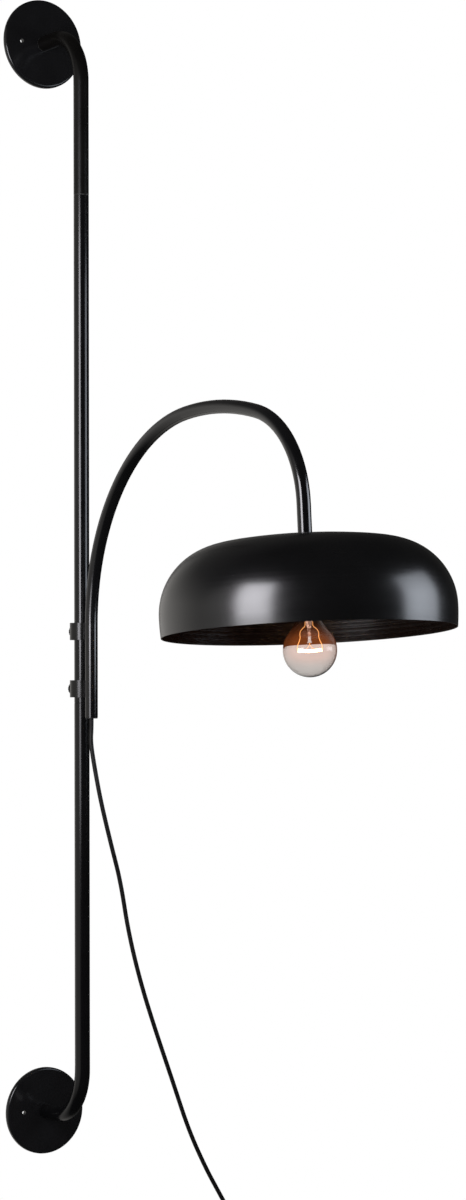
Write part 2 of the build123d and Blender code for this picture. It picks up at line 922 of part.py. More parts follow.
def plug_body():
    """Moulded body with its strain relief, and slots for the blades."""
    with BuildPart() as plug:
        with BuildSketch(Plane.XY.offset(body_bottom)):
            with Locations((plug_entry.X, plug_entry.Y)):
                RectangleRounded(plug_width, plug_thick, plug_corner)
        extrude(amount=plug_length)
        ends = plug.edges().group_by(Axis.Z)
        fillet(ends[0] + ends[-1], plug_edge_round)
        with BuildSketch(Plane.XY.offset(body_top - plug_edge_round)):
            with Locations((plug_entry.X, plug_entry.Y)):
                Circle(plug_relief_dia / 2)
        with BuildSketch(Plane.XY.offset(plug_entry.Z)):
            with Locations((plug_entry.X, plug_entry.Y)):
                Circle(plug_relief_top_dia / 2)
        loft()
        with BuildSketch(Plane.XY.offset(plug_entry.Z)):
            with Locations((plug_entry.X, plug_entry.Y)):
                Circle(cord_dia / 2 + slip)
        extrude(amount=-plug_grip - slip, mode=Mode.SUBTRACT)
        with BuildSketch(Plane.XY.offset(body_bottom)):
            with Locations((plug_entry.X, plug_entry.Y)):
                with GridLocations(blade_spacing, 0, 2, 1):
                    Rectangle(blade_thick + 2 * slip, blade_width + 2 * slip)
        extrude(amount=blade_grip + slip, mode=Mode.SUBTRACT)
    return plug


def plug_blade(side):
    blade_x = plug_entry.X + side * blade_spacing / 2
    with BuildPart() as blade:
        with BuildSketch(Plane.XY.offset(body_bottom - blade_length)):
            with Locations((blade_x, plug_entry.Y)):
                Rectangle(blade_thick, blade_width)
        extrude(amount=blade_length + blade_grip)
        tip = blade.edges().group_by(Axis.Z)[0]
        chamfer(tip, blade_thick / 4)
        with BuildSketch(Plane(origin=(blade_x, plug_entry.Y, body_bottom - blade_hole_reach), z_dir=(1, 0, 0))):
            Circle(blade_hole_dia / 2)
        extrude(amount=blade_thick, both=True, mode=Mode.SUBTRACT)
    return blade


# ---------------------------------------------------------------- every piece

os.makedirs("parts", exist_ok=True)

for name, height, seam_z in (("upper", 0.0, upper_seam_z), ("lower", -plate_spacing, lower_seam_z)):
    write(wall_plate(height), f"{name}_wall_plate")
    write(plate_screw(height), f"{name}_plate_screw")
    write(elbow_plug(height), f"{name}_elbow_plug")
    write(pole_elbow(height, seam_z), f"{name}_pole_elbow")
    write(seam_socket(seam_z), f"{name}_joint_socket")
    write(seam_stud(seam_z), f"{name}_joint_stud")
write(middle_pole(), "middle_pole_tube")

for name, height, head_gap in (
    ("upper", upper_collar_z, upper_head_gap),
    ("lower", lower_collar_z, lower_head_gap),
):
    write(collar_liner(height), f"{name}_collar_liner")
    write(clamp_collar(height), f"{name}_clamp_collar")
    write(thumb_screw(height, head_gap), f"{name}_clamp_screw")

write(arm_tube(), "arc_arm_tube")
write(cord_bush(), "arm_end_bush")
write(arm_lead(), "arm_lead")
write(ring(arm_bore - 2 * slip, nipple_dia + 2 * slip, -end_plug_length - seat, -seat), "arm_end_plug")
write(ring(nipple_dia, nipple_bore, -nipple_grip, neck_bottom), "shade_nipple")

write(spun_shade(), "shade")
write(ring(washer_dia, nipple_dia + 2 * slip, washer_top, washer_top + washer_thick), "shade_washer")
write(shade_nut(), "shade_locknut")
write(socket_cap(), "socket_cap")
write(socket_body(), "socket_body")
write(screw_shell(), "socket_screw_shell")
write(centre_contact(), "socket_centre_contact")
write(ring(grip_dia, cord_dia + 2 * slip, neck_bottom + seat, neck_bottom + seat + grip_height), "lead_grip")

write(bulb_base(), "bulb_base")
write(base_insulator(), "bulb_insulator")
write(bulb_contact(), "bulb_contact")
write(bulb_glass(), "bulb_glass")
write(bulb_stem(), "bulb_stem")
write(filament_wire(-1), "bulb_left_wire")
write(filament_wire(1), "bulb_right_wire")
write(bulb_filament(), "bulb_filament")

write(hanging_cord(), "cord")
write(switch_half(1), "switch_front_shell")
write(switch_half(-1), "switch_rear_shell")
write(half_screw(half_screw_places[0]), "switch_lower_screw")
write(half_screw(half_screw_places[1]), "switch_upper_screw")
write(rocker_pin(), "rocker_pin")
write(switch_rocker(), "switch_rocker")
write(cord_coil(), "cord_coil")
write(cord_tie(), "cord_tie")
write(plug_body(), "plug_body")
write(plug_blade(-1), "plug_left_blade")
write(plug_blade(1), "plug_right_blade")
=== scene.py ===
import json
from math import acos, asin, cos, pi, radians, sin

import bpy
from mathutils import Matrix, Vector


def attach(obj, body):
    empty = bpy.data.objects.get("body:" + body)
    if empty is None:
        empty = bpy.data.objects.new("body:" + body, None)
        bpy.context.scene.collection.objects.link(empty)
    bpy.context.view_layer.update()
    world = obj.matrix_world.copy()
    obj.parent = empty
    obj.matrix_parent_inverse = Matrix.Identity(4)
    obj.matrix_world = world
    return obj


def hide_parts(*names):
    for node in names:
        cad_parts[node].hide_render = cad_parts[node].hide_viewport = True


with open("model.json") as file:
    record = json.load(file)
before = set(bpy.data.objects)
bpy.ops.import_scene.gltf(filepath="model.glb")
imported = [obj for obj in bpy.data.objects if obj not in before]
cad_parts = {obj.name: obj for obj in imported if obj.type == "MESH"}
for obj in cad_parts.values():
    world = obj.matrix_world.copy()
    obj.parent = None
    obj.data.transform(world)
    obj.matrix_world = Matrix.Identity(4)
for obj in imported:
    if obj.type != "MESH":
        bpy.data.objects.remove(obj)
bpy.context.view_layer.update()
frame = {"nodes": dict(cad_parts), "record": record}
nodes = frame["nodes"]
scene = bpy.context.scene
print("frame loaded:", len(nodes), "nodes")

cameraSettings = {
    "place": (-1.75866, -3.11857, -0.80620),
    "right": (0.835620, -0.549308, -0.000224),
    "up": (0.012503, 0.018613, 0.999749),
    "lens": 83.638,
    "sensor": 36.0,
    "shiftY": 140 / 1200,  # the lens axis sits below the middle of the picture
    "clipEnd": 60,
}


def addCamera(s):
    data = bpy.data.cameras.new("photoCamera")
    data.sensor_fit = "VERTICAL"
    data.sensor_height = s["sensor"]
    data.sensor_width = s["sensor"]
    data.lens = s["lens"]
    data.shift_y = s["shiftY"]
    data.clip_end = s["clipEnd"]
    cam = bpy.data.objects.new("photoCamera", data)
    scene.collection.objects.link(cam)
    right, up = Vector(s["right"]), Vector(s["up"])
    turn = Matrix((right, up, right.cross(up))).transposed()
    cam.matrix_world = Matrix.Translation(s["place"]) @ turn.to_4x4()
    scene.camera = cam
    print("camera set")


addCamera(cameraSettings)

cordSettings = {
    "diameter": 0.0055,
    "length": 1.821,
    "route": [  # the corners that the hanging stretch goes round
        (0.0, -0.1225, -0.85725), (0.0, -0.1225, -0.870), (-0.0016, -0.1231, -0.886),
        (0.0010, -0.1272, -0.915), (0.0068, -0.1334, -0.960), (0.0205, -0.1352, -1.014),
        (0.0345, -0.1350, -1.061), (0.0458, -0.1346, -1.124), (0.0635, -0.1349, -1.189),
        (0.0855, -0.1350, -1.251), (0.1110, -0.1348, -1.317), (0.1350, -0.1346, -1.381),
        (0.1600, -0.1348, -1.431), (0.1792, -0.1348, -1.463), (0.1970, -0.1348, -1.4923),
    ],
    "toCoil": 0.0765,  # from the route's last corner, through the switch, to the coil
    "coilRadius": 0.040,
    "pitch": 0.0061,
    "turnsIn": 2.5,
    "turnsClimb": 0.5,  # from the back layer of turns to the front one
    "turnsOut": 2,
    "pointsPerTurn": 16,
    "tailLead": 0.004,  # straight down before the tail's end
    "tail": 0.033,
}


def coilPoints(s):
    last, before = Vector(s["route"][-1]), Vector(s["route"][-2])
    down = (last - before).normalized()  # the way the cord arrives
    side = Vector((-down.z, 0, down.x))  # from the coil's middle to where it arrives
    entry = last + down * s["toCoil"]
    middle = entry - side * s["coilRadius"]
    perTurn, pitch = s["pointsPerTurn"], s["pitch"]
    grow = 1 / cos(pi / perTurn)  # the spline cuts inside its points
    steps = int((s["turnsIn"] + s["turnsClimb"] + s["turnsOut"]) * perTurn)
    inSteps, climbSteps = int(s["turnsIn"] * perTurn), int(s["turnsClimb"] * perTurn)
    leave = acos(-down.z) / (2 * pi) * perTurn  # the last part turn, until it hangs straight
    points = []
    for i in list(range(1, steps + 1)) + [steps + leave / 2]:
        climb = min(max((i - inSteps) / climbSteps, 0), 1)
        ease = climb * climb * (3 - 2 * climb)
        radius = s["coilRadius"] + pitch / 4 - pitch * min(i, inSteps) / perTurn
        radius += pitch * max(i - inSteps - climbSteps, 0) / perTurn
        # the turns are centred a quarter pitch off, so that they start where the cord arrives
        centre = middle - side * pitch * (0.25 + 0.5 * climb) + Vector((0, -pitch * ease, 0))
        angle = 2 * pi * i / perTurn
        points.append(centre + (side * cos(angle) + down * sin(angle)) * radius * grow)
    tailTop = middle - side * pitch + Vector((s["coilRadius"], -pitch, 0))
    tail = [tailTop - Vector((0, 0, drop)) for drop in (s["tailLead"], s["tail"])]
    return [entry] + points + tail


def newCurve(name, points, width, roundness, fine):
    curve = bpy.data.curves.new(name, "CURVE")
    curve.dimensions = "3D"
    curve.bevel_depth = width / 2
    curve.bevel_resolution = roundness
    curve.resolution_u = fine
    curve.use_fill_caps = True
    spline = curve.splines.new("NURBS")
    spline.points.add(len(points) - 1)
    for target, p in zip(spline.points, points):
        target.co = (p[0], p[1], p[2], 1)
    spline.order_u = 3
    spline.use_endpoint_u = True
    piece = bpy.data.objects.new(name, curve)
    scene.collection.objects.link(piece)
    return piece


def addCord(s, material):
    points = [Vector(p) for p in s["route"]] + coilPoints(s)
    cord = newCurve("mainsCord", points, s["diameter"], roundness=5, fine=8)
    cord.data.materials.append(material)
    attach(cord, "hanging_cord")
    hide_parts("cord", "cord_coil")
    print("cord laid with", len(points), "points")


# nodes that the finishes share

def feed(net, socket, value):
    # a plain value is typed in, and anything else is wired up
    if isinstance(value, (int, float, tuple)):
        socket.default_value = value
    else:
        net.links.new(value, socket)


def mathNode(net, operation, a, b=0.0):
    node = net.nodes.new("ShaderNodeMath")
    node.operation = operation
    feed(net, node.inputs[0], a)
    feed(net, node.inputs[1], b)
    return node.outputs[0]


def rangeNode(net, value, fromLow, fromHigh, toLow, toHigh, smooth=False):
    node = net.nodes.new("ShaderNodeMapRange")
    if smooth:
        node.interpolation_type = "SMOOTHERSTEP"
    net.links.new(value, node.inputs["Value"])
    spans = {"From Min": fromLow, "From Max": fromHigh, "To Min": toLow, "To Max": toHigh}
    for label, number in spans.items():
        feed(net, node.inputs[label], number)
    return node.outputs["Result"]


def noiseNode(net, vector, scale, detail, roughness):
    node = net.nodes.new("ShaderNodeTexNoise")
    node.inputs["Detail"].default_value = detail
    node.inputs["Roughness"].default_value = roughness
    feed(net, node.inputs["Scale"], scale)
    net.links.new(vector, node.inputs["Vector"])
    return node.outputs["Fac"]


def mixColor(net, factor, a, b):
    node = net.nodes.new("ShaderNodeMix")
    node.data_type = "RGBA"
    for label, value in (("Factor", factor), ("A", a), ("B", b)):
        feed(net, node.inputs[label], value)
    return node.outputs["Result"]


def splitAxes(net, vector):
    node = net.nodes.new("ShaderNodeSeparateXYZ")
    net.links.new(vector, node.inputs[0])
    return node.outputs


def newGroup(name, ins, outs):
    net = bpy.data.node_groups.new(name, "ShaderNodeTree")
    for label, value in ins.items():
        kind = "NodeSocketColor" if isinstance(value, tuple) else "NodeSocketFloat"
        net.interface.new_socket(label, in_out="INPUT", socket_type=kind).default_value = value
    for label, kind in outs.items():
        net.interface.new_socket(label, in_out="OUTPUT", socket_type=kind)
    return net, net.nodes.new("NodeGroupInput"), net.nodes.new("NodeGroupOutput")


skinSettings = {
    "cloudNoise": (4.0, 0.6), "grainNoise": (2.0, 0.55),  # detail, roughness
    "cloudSpan": (0.3, 0.7),  # where the clouds' values mostly lie
    "tone": (0.8, 1.2),  # how far the clouds darken and lighten the colour
    "edgeWidth": 0.0006, "edgeSamples": 4,
    "edgeTurn": (0.98, 0.82),  # how well the rounded and the true normal agree: plain, worn with painted glints
    "chipScale": 420.0, "chipNoise": (3.0, 0.6), "chipSpan": (0.42, 0.6), "chips": (0.25, 1.0),
    "dustAndSheenFacing": (0.3, 1.0),  # how far up a face looks: clean, most dust and painted sheen
    "dustAndSheenSpan": (0.35, 0.7), "dustAndSheenPatches": (0.3, 1.0),
    "dustAndSheenColor": (0.13, 0.12, 0.11, 1), "dustAndSheenRough": 0.4,
}


def makeCoatSkin(s):
    net, given, result = newGroup(
        "coatSkin",
        {"Color": (0.02, 0.02, 0.02, 1), "Worn And Glint Color": (0.1, 0.1, 0.1, 1), "Grain Scale": 900.0,
         "Cloud Scale": 14.0, "Rough Low": 0.3, "Rough High": 0.42, "Dust And Sheen": 0.05,
         "Edge Width": s["edgeWidth"], "Edge Wear And Glint": 0.3},
        {"Color": "NodeSocketColor", "Roughness": "NodeSocketFloat", "Height": "NodeSocketFloat"},
    )
    coords = net.nodes.new("ShaderNodeTexCoord").outputs["Object"]
    cloud = noiseNode(net, coords, given.outputs["Cloud Scale"], *s["cloudNoise"])
    grain = noiseNode(net, coords, given.outputs["Grain Scale"], *s["grainNoise"])
    normal = net.nodes.new("ShaderNodeNewGeometry").outputs["Normal"]
    # dust and a painted brownish sheen on upward faces
    upward = rangeNode(net, splitAxes(net, normal)["Z"], *s["dustAndSheenFacing"], 0.0, 1.0)
    patchy = rangeNode(net, cloud, *s["dustAndSheenSpan"], *s["dustAndSheenPatches"])
    dustAndSheen = mathNode(net, "MULTIPLY", mathNode(net, "MULTIPLY", upward, patchy), given.outputs["Dust And Sheen"])
    rounded = net.nodes.new("ShaderNodeBevel")
    rounded.samples = s["edgeSamples"]
    net.links.new(given.outputs["Edge Width"], rounded.inputs["Radius"])
    agree = net.nodes.new("ShaderNodeVectorMath")
    agree.operation = "DOT_PRODUCT"
    net.links.new(rounded.outputs[0], agree.inputs[0])
    net.links.new(normal, agree.inputs[1])
    edge = rangeNode(net, agree.outputs["Value"], *s["edgeTurn"], 0.0, 1.0)
    chips = noiseNode(net, coords, s["chipScale"], *s["chipNoise"])
    brokenEdge = mathNode(net, "MULTIPLY", edge, rangeNode(net, chips, *s["chipSpan"], *s["chips"]))
    # worn edges, which on the tube and the elbow are also painted glints along the seam
    wearAndGlint = mathNode(net, "MULTIPLY", brokenEdge, given.outputs["Edge Wear And Glint"])
    toned = net.nodes.new("ShaderNodeHueSaturation")
    net.links.new(given.outputs["Color"], toned.inputs["Color"])
    net.links.new(rangeNode(net, cloud, *s["cloudSpan"], *s["tone"]), toned.inputs["Value"])
    dustedAndSheened = mixColor(net, dustAndSheen, toned.outputs["Color"], s["dustAndSheenColor"])
    net.links.new(mixColor(net, wearAndGlint, dustedAndSheened, given.outputs["Worn And Glint Color"]), result.inputs["Color"])
    low, high = given.outputs["Rough Low"], given.outputs["Rough High"]
    rough = rangeNode(net, cloud, *s["cloudSpan"], low, high)
    rough = mathNode(net, "ADD", rough, mathNode(net, "MULTIPLY", dustAndSheen, s["dustAndSheenRough"]))
    net.links.new(rough, result.inputs["Roughness"])
    net.links.new(grain, result.inputs["Height"])
    return net


coatSkin = makeCoatSkin(skinSettings)

lampAxis = {
    "crown": Vector((0, -0.588194, -0.650174)),
    "up": Vector((0, 0.074979, 0.997185)),
    "leanBack": asin(0.074979),
}
lineNoise = (3.0, 0.6)  # detail and roughness of the lines that turning leaves


def makeLatheLines():
    net, given, result = newGroup("latheLines", {"Line Scale": 240.0}, {"Lines": "NodeSocketFloat"})
    place = net.nodes.new("ShaderNodeMapping")
    place.vector_type = "TEXTURE"
    place.inputs["Location"].default_value = lampAxis["crown"]
    place.inputs["Rotation"].default_value = (-lampAxis["leanBack"], 0, 0)
    net.links.new(net.nodes.new("ShaderNodeTexCoord").outputs["Object"], place.inputs["Vector"])
    axes = splitAxes(net, place.outputs[0])
    squares = [mathNode(net, "MULTIPLY", axes[a], axes[a]) for a in "XY"]
    radius = mathNode(net, "SQRT", mathNode(net, "ADD", *squares))
    along = net.nodes.new("ShaderNodeCombineXYZ")
    net.links.new(mathNode(net, "SUBTRACT", radius, axes["Z"]), along.inputs["X"])
    lines = noiseNode(net, along.outputs[0], given.outputs["Line Scale"], *lineNoise)
    net.links.new(lines, result.inputs["Lines"])
    return net


latheLines = makeLatheLines()


def newMaterial(name):
    material = bpy.data.materials.new(name)
    material.use_nodes = True
    return material, material.node_tree, material.node_tree.nodes["Principled BSDF"]


coatDefaults = {"dustAndSheen": 0.03, "wearAndGlint": 0.3, "metallic": 0.0, "specular": 0.5, "bumpHeight": 0.0001}


def coatMaterial(name, finish):
    s = {**coatDefaults, **finish}
    material, net, shader = newMaterial(name)
    skin = net.nodes.new("ShaderNodeGroup")
    skin.node_tree = coatSkin
    roughLow, roughHigh = s["rough"]
    values = {"Color": (*s["color"], 1), "Worn And Glint Color": (*s["wornAndGlint"], 1), "Grain Scale": s["grain"],
              "Cloud Scale": s["cloud"], "Rough Low": roughLow, "Rough High": roughHigh,
              "Dust And Sheen": s["dustAndSheen"], "Edge Wear And Glint": s["wearAndGlint"]}
    for label, value in values.items():
        skin.inputs[label].default_value = value
    bump = net.nodes.new("ShaderNodeBump")
    bump.inputs["Strength"].default_value = s["bump"]
    bump.inputs["Distance"].default_value = s["bumpHeight"]
    height, rough = skin.outputs["Height"], skin.outputs["Roughness"]
    if "lineScale" in s:  # spun on a lathe
        lathe = net.nodes.new("ShaderNodeGroup")
        lathe.node_tree = latheLines
        lathe.inputs["Line Scale"].default_value = s["lineScale"]
        lines = lathe.outputs["Lines"]
        height = mathNode(net, "ADD", height, mathNode(net, "MULTIPLY", lines, s["lineDepth"]))
        spread = rangeNode(net, lines, *skinSettings["cloudSpan"], -s["lineRough"], s["lineRough"])
        rough = mathNode(net, "ADD", rough, spread)
    net.links.new(height, bump.inputs["Height"])
    net.links.new(skin.outputs["Color"], shader.inputs["Base Color"])
    net.links.new(rough, shader.inputs["Roughness"])
    net.links.new(bump.outputs["Normal"], shader.inputs["Normal"])
    shader.inputs["Metallic"].default_value = s["metallic"]
    shader.inputs["Specular IOR Level"].default_value = s["specular"]
    return material


finishes = {
    # the tube's lighter worn colour is partly painted glints along its end edges
    "glossTube": {"grain": 260, "cloud": 16, "rough": (0.14, 0.19), "color": (0.004, 0.004, 0.0045),
                  "wornAndGlint": (0.10, 0.10, 0.10), "bump": 0.02, "specular": 0.6, "wearAndGlint": 0.6},
    "armGloss": {"grain": 260, "cloud": 16, "rough": (0.13, 0.18), "color": (0.004, 0.004, 0.0045),
                 "wornAndGlint": (0.06, 0.06, 0.06), "bump": 0.02, "specular": 0.85},
    # the elbow's light worn colour is partly painted glints along the seam's edge
    "satinElbow": {"grain": 260, "cloud": 22, "rough": (0.25, 0.32), "color": (0.005, 0.0045, 0.004),
                   "wornAndGlint": (0.55, 0.55, 0.53), "bump": 0.03, "specular": 0.35, "wearAndGlint": 1.0},
    "plateBlack": {"grain": 260, "cloud": 24, "rough": (0.13, 0.18), "color": (0.009, 0.009, 0.0098),
                   "wornAndGlint": (0.16, 0.16, 0.16), "bump": 0.03, "specular": 0.6, "wearAndGlint": 0.5},
    "clampBlack": {"grain": 700, "cloud": 70, "rough": (0.21, 0.28), "color": (0.005, 0.0045, 0.0042),
                   "wornAndGlint": (0.05, 0.045, 0.04), "bump": 0.06, "specular": 0.62, "wearAndGlint": 0.2},
    "knobBlack": {"grain": 1100, "cloud": 90, "rough": (0.34, 0.44), "color": (0.006, 0.0055, 0.0052),
                  "wornAndGlint": (0.03, 0.03, 0.03), "bump": 0.15, "specular": 0.02, "wearAndGlint": 0.1},
    "mouldedBlack": {"grain": 1500, "cloud": 50, "rough": (0.45, 0.58), "color": (0.014, 0.014, 0.014),
                     "wornAndGlint": (0.04, 0.04, 0.04), "bump": 0.4, "specular": 0.4},
    "rockerGloss": {"grain": 300, "cloud": 60, "rough": (0.18, 0.26), "color": (0.012, 0.012, 0.012),
                    "wornAndGlint": (0.04, 0.04, 0.04), "bump": 0.05},
    "phenolic": {"grain": 350, "cloud": 40, "rough": (0.22, 0.32), "color": (0.014, 0.011, 0.009),
                 "wornAndGlint": (0.05, 0.04, 0.03), "bump": 0.08},
    "cordJacket": {"grain": 1400, "cloud": 60, "rough": (0.42, 0.55), "color": (0.007, 0.007, 0.007),
                   "wornAndGlint": (0.02, 0.02, 0.02), "bump": 0.2, "specular": 0.35, "wearAndGlint": 0.0},
    "nylonBlack": {"grain": 900, "cloud": 70, "rough": (0.45, 0.55), "color": (0.016, 0.016, 0.016),
                   "wornAndGlint": (0.04, 0.04, 0.04), "bump": 0.15, "specular": 0.4},
    "plainSteel": {"grain": 1200, "cloud": 120, "rough": (0.28, 0.42), "color": (0.42, 0.42, 0.43),
                   "wornAndGlint": (0.7, 0.7, 0.7), "bump": 0.1, "metallic": 1.0, "dustAndSheen": 0.0},
    "zincScrew": {"grain": 900, "cloud": 160, "rough": (0.24, 0.38), "color": (0.55, 0.55, 0.58),
                  "wornAndGlint": (0.75, 0.75, 0.75), "bump": 0.1, "metallic": 1.0, "dustAndSheen": 0.0},
    "brass": {"grain": 900, "cloud": 160, "rough": (0.20, 0.34), "color": (0.66, 0.46, 0.20),
              "wornAndGlint": (0.85, 0.68, 0.36), "bump": 0.1, "metallic": 1.0, "dustAndSheen": 0.0},
    "bulbMetal": {"grain": 900, "cloud": 160, "rough": (0.25, 0.36), "color": (0.66, 0.66, 0.67),
                  "wornAndGlint": (0.8, 0.8, 0.8), "bump": 0.1, "metallic": 1.0, "dustAndSheen": 0.0},
    "blackGlass": {"grain": 300, "cloud": 60, "rough": (0.08, 0.14), "color": (0.02, 0.012, 0.03),
                   "wornAndGlint": (0.05, 0.04, 0.06), "bump": 0.02, "dustAndSheen": 0.0},
    "solder": {"grain": 800, "cloud": 200, "rough": (0.35, 0.5), "color": (0.5, 0.5, 0.5),
               "wornAndGlint": (0.7, 0.7, 0.7), "bump": 0.2, "metallic": 1.0, "dustAndSheen": 0.0},
    "shadeOutside": {"grain": 900, "cloud": 12, "rough": (0.22, 0.27), "color": (0.003, 0.003, 0.0033),
                     "wornAndGlint": (0.03, 0.03, 0.03), "bump": 0.10, "dustAndSheen": 0.01, "specular": 0.9,
                     "lineScale": 260, "lineDepth": 0.4, "lineRough": 0.02},
    "shadeInside": {"grain": 900, "cloud": 12, "rough": (0.24, 0.32), "color": (0.0050, 0.0032, 0.0024),
                    "wornAndGlint": (0.03, 0.03, 0.03), "bump": 1.0, "dustAndSheen": 0.0, "specular": 0.8,
                    "lineScale": 240, "lineDepth": 6.5, "lineRough": 0.06},
}
made = {name: coatMaterial(name, finish) for name, finish in finishes.items()}
print("finishes made:", len(made))

addCord(cordSettings, made["cordJacket"])

slotFinish = {
    "black_plate": "plateBlack", "black_tube": "glossTube", "black_clamp": "clampBlack",
    "black_knob": "knobBlack", "plain_steel": "plainSteel", "zinc_screw": "zincScrew",
    "nylon": "nylonBlack", "black_plastic": "mouldedBlack", "phenolic": "phenolic",
    "brass": "brass", "bulb_metal": "bulbMetal", "bulb_insulator": "blackGlass",
    "solder": "solder", "cord_jacket": "cordJacket", "switch_plastic": "mouldedBlack",
    "rocker_plastic": "rockerGloss", "tie_rubber": "nylonBlack", "plug_rubber": "mouldedBlack",
}
nodeFinish = {"upper_pole_elbow": "satinElbow", "arc_arm_tube": "armGloss"}


def dressNodes():
    for part in frame["record"]["subparts"]:
        finish = nodeFinish.get(part["node"], slotFinish.get(part["material_slot"]))
        if finish:
            data = nodes[part["node"]].data
            data.materials.clear()
            data.materials.append(made[finish])
    print("finishes put on")


dressNodes()


def lampPoint(radius, depth):
    return lampAxis["crown"] + Vector((radius, 0, 0)) - lampAxis["up"] * depth


def arcRun(start, heading, bends):
    points = [Vector(start)]
    x, y = start
    for radius, turn, count in bends:  # a positive turn goes to the left
        side = 1 if turn > 0 else -1
        cx, cy = x - side * radius * sin(heading), y + side * radius * cos(heading)
        for k in range(1, count + 1):
            a = heading + turn * k / count
            points.append(Vector((cx + side * radius * sin(a), cy - side * radius * cos(a))))
        x, y = points[-1]
        heading += turn
    return points


spinSettings = {
    "seed": 0.001,  # the plane that shrinks to the profile's first point
    "weld": 0.00002,
    "sharpAngle": radians(40),
}


def turnOnLamp(name, profile, closed, steps):
    # draws the profile point by point and spins it round the lamp's axis
    bpy.ops.object.select_all(action="DESELECT")
    here = lampPoint(*profile[0])
    bpy.ops.mesh.primitive_plane_add(size=spinSettings["seed"], location=here)
    piece = bpy.context.object
    piece.name = name
    bpy.ops.object.transform_apply(location=True, rotation=True, scale=True)
    bpy.ops.object.mode_set(mode="EDIT")
    bpy.ops.mesh.select_mode(type="VERT")
    bpy.ops.mesh.select_all(action="SELECT")
    bpy.ops.mesh.merge(type="CENTER")
    for radius, depth in profile[1:]:
        there = lampPoint(radius, depth)
        bpy.ops.mesh.extrude_region_move(TRANSFORM_OT_translate={"value": there - here})
        here = there
    if closed:
        bpy.ops.mesh.select_all(action="SELECT")
        bpy.ops.mesh.edge_face_add()
        bpy.ops.mesh.delete(type="ONLY_FACE")
    bpy.ops.mesh.select_all(action="SELECT")
    bpy.ops.mesh.spin(steps=steps, angle=2 * pi, center=lampAxis["crown"], axis=lampAxis["up"])
    bpy.ops.mesh.select_all(action="SELECT")
    bpy.ops.mesh.remove_doubles(threshold=spinSettings["weld"])
    bpy.ops.mesh.normals_make_consistent(inside=False)
    bpy.ops.object.mode_set(mode="OBJECT")
    bpy.ops.object.shade_smooth_by_angle(angle=spinSettings["sharpAngle"])
    return piece


shadeSettings = {
    "crownRadius": 0.676, "shoulderRadius": 0.077, "radius": 0.165, "height": 0.1075,
    "inset": 0.0012,  # how far the skirt draws in towards the rim
    "thick": 0.0012, "hole": 0.00505,
    "crownSteps": 10, "shoulderSteps": 22, "skirtSteps": 6, "steps": 192,
    "core": 0.85,  # part of the height, to a point that the whole inside faces
}


def shadeProfile(s):
    swing = s["crownRadius"] - s["shoulderRadius"]
    crownTurn = asin((s["radius"] - s["shoulderRadius"]) / swing)
    skirt = s["height"] - s["crownRadius"] + swing * cos(crownTurn)
    skirtRadius = (skirt ** 2 + s["inset"] ** 2) / (2 * s["inset"])
    faces = []
    for inset in (0, s["thick"]):
        radius = s["crownRadius"] - inset
        startTurn = asin(s["hole"] / radius)
        faces.append(arcRun((s["hole"], -inset - radius * (1 - cos(startTurn))), -startTurn, [
            (radius, -(crownTurn - startTurn), s["crownSteps"]),
            (s["shoulderRadius"] - inset, -(pi / 2 - crownTurn), s["shoulderSteps"]),
            (skirtRadius - inset, -asin(skirt / skirtRadius), s["skirtSteps"]),
        ]))
    outer, inner = faces
    return [(p.x, -p.y) for p in outer + inner[::-1]]


def addShade(s):
    shade = turnOnLamp("spunShade", shadeProfile(s), True, s["steps"])
    shade.data.materials.append(made["shadeOutside"])
    shade.data.materials.append(made["shadeInside"])
    core = lampAxis["crown"] - lampAxis["up"] * (s["height"] * s["core"])
    for face in shade.data.polygons:
        face.material_index = 1 if face.normal.dot(face.center - core) < 0 else 0
    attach(shade, "arm")
    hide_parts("shade")
    print("shade turned:", len(shade.data.polygons), "faces")


addShade(shadeSettings)

bulbSettings = {
    "radius": 0.030, "centreDepth": 0.1263, "neckRadius": 0.012, "neckBend": 0.045, "neckTop": 0.0698,
    "wall": 0.0008, "neckSteps": 12, "globeSteps": 26, "steps": 96,
    "tint": (0.775, 0.76, 0.755), "waves": 0.004,
    # painted glow on the glass round the filament, most at a depth a little above it
    "halo": {"depth": 0.1223, "reach": 0.031, "color": (1.0, 0.24, 0.055), "strength": 0.055},
}


def bulbProfile(s):
    swing = s["radius"] + s["neckBend"]
    turn = acos((s["neckRadius"] + s["neckBend"]) / swing)
    neckDepth = s["centreDepth"] - swing * sin(turn)
    faces = []
    for inset in (0, s["wall"]):
        neck = s["neckRadius"] - inset
        points = [Vector((neck, -s["neckTop"]))]
        points += arcRun((neck, -neckDepth), -pi / 2, [
            (s["neckBend"] + inset, turn, s["neckSteps"]),
            (s["radius"] - inset, -(pi / 2 + turn), s["globeSteps"]),
        ])
        points[-1].x = 0.0
        faces.append(points)
    outer, inner = faces
    return [(p.x, -p.y) for p in inner[::-1] + outer]


glassSettings = {
    "ior": 1.47,
    "waveScale": 60.0, "waveNoise": (1.0, 0.4), "waveHeight": 0.001,
    "haloFacing": (0.0, 0.5, 1.7, 0.2),  # the painted glow is stronger where the glass faces the eye than at its sides
    # painted glints on the stem's glass: noise, span and least share
    "sparkleScale": 480.0, "sparkleNoise": (2.0, 0.6), "sparkleSpan": 0.16, "sparkleLeast": 0.05,
    "shadowTint": (0.96, 0.96, 0.96, 1),
}


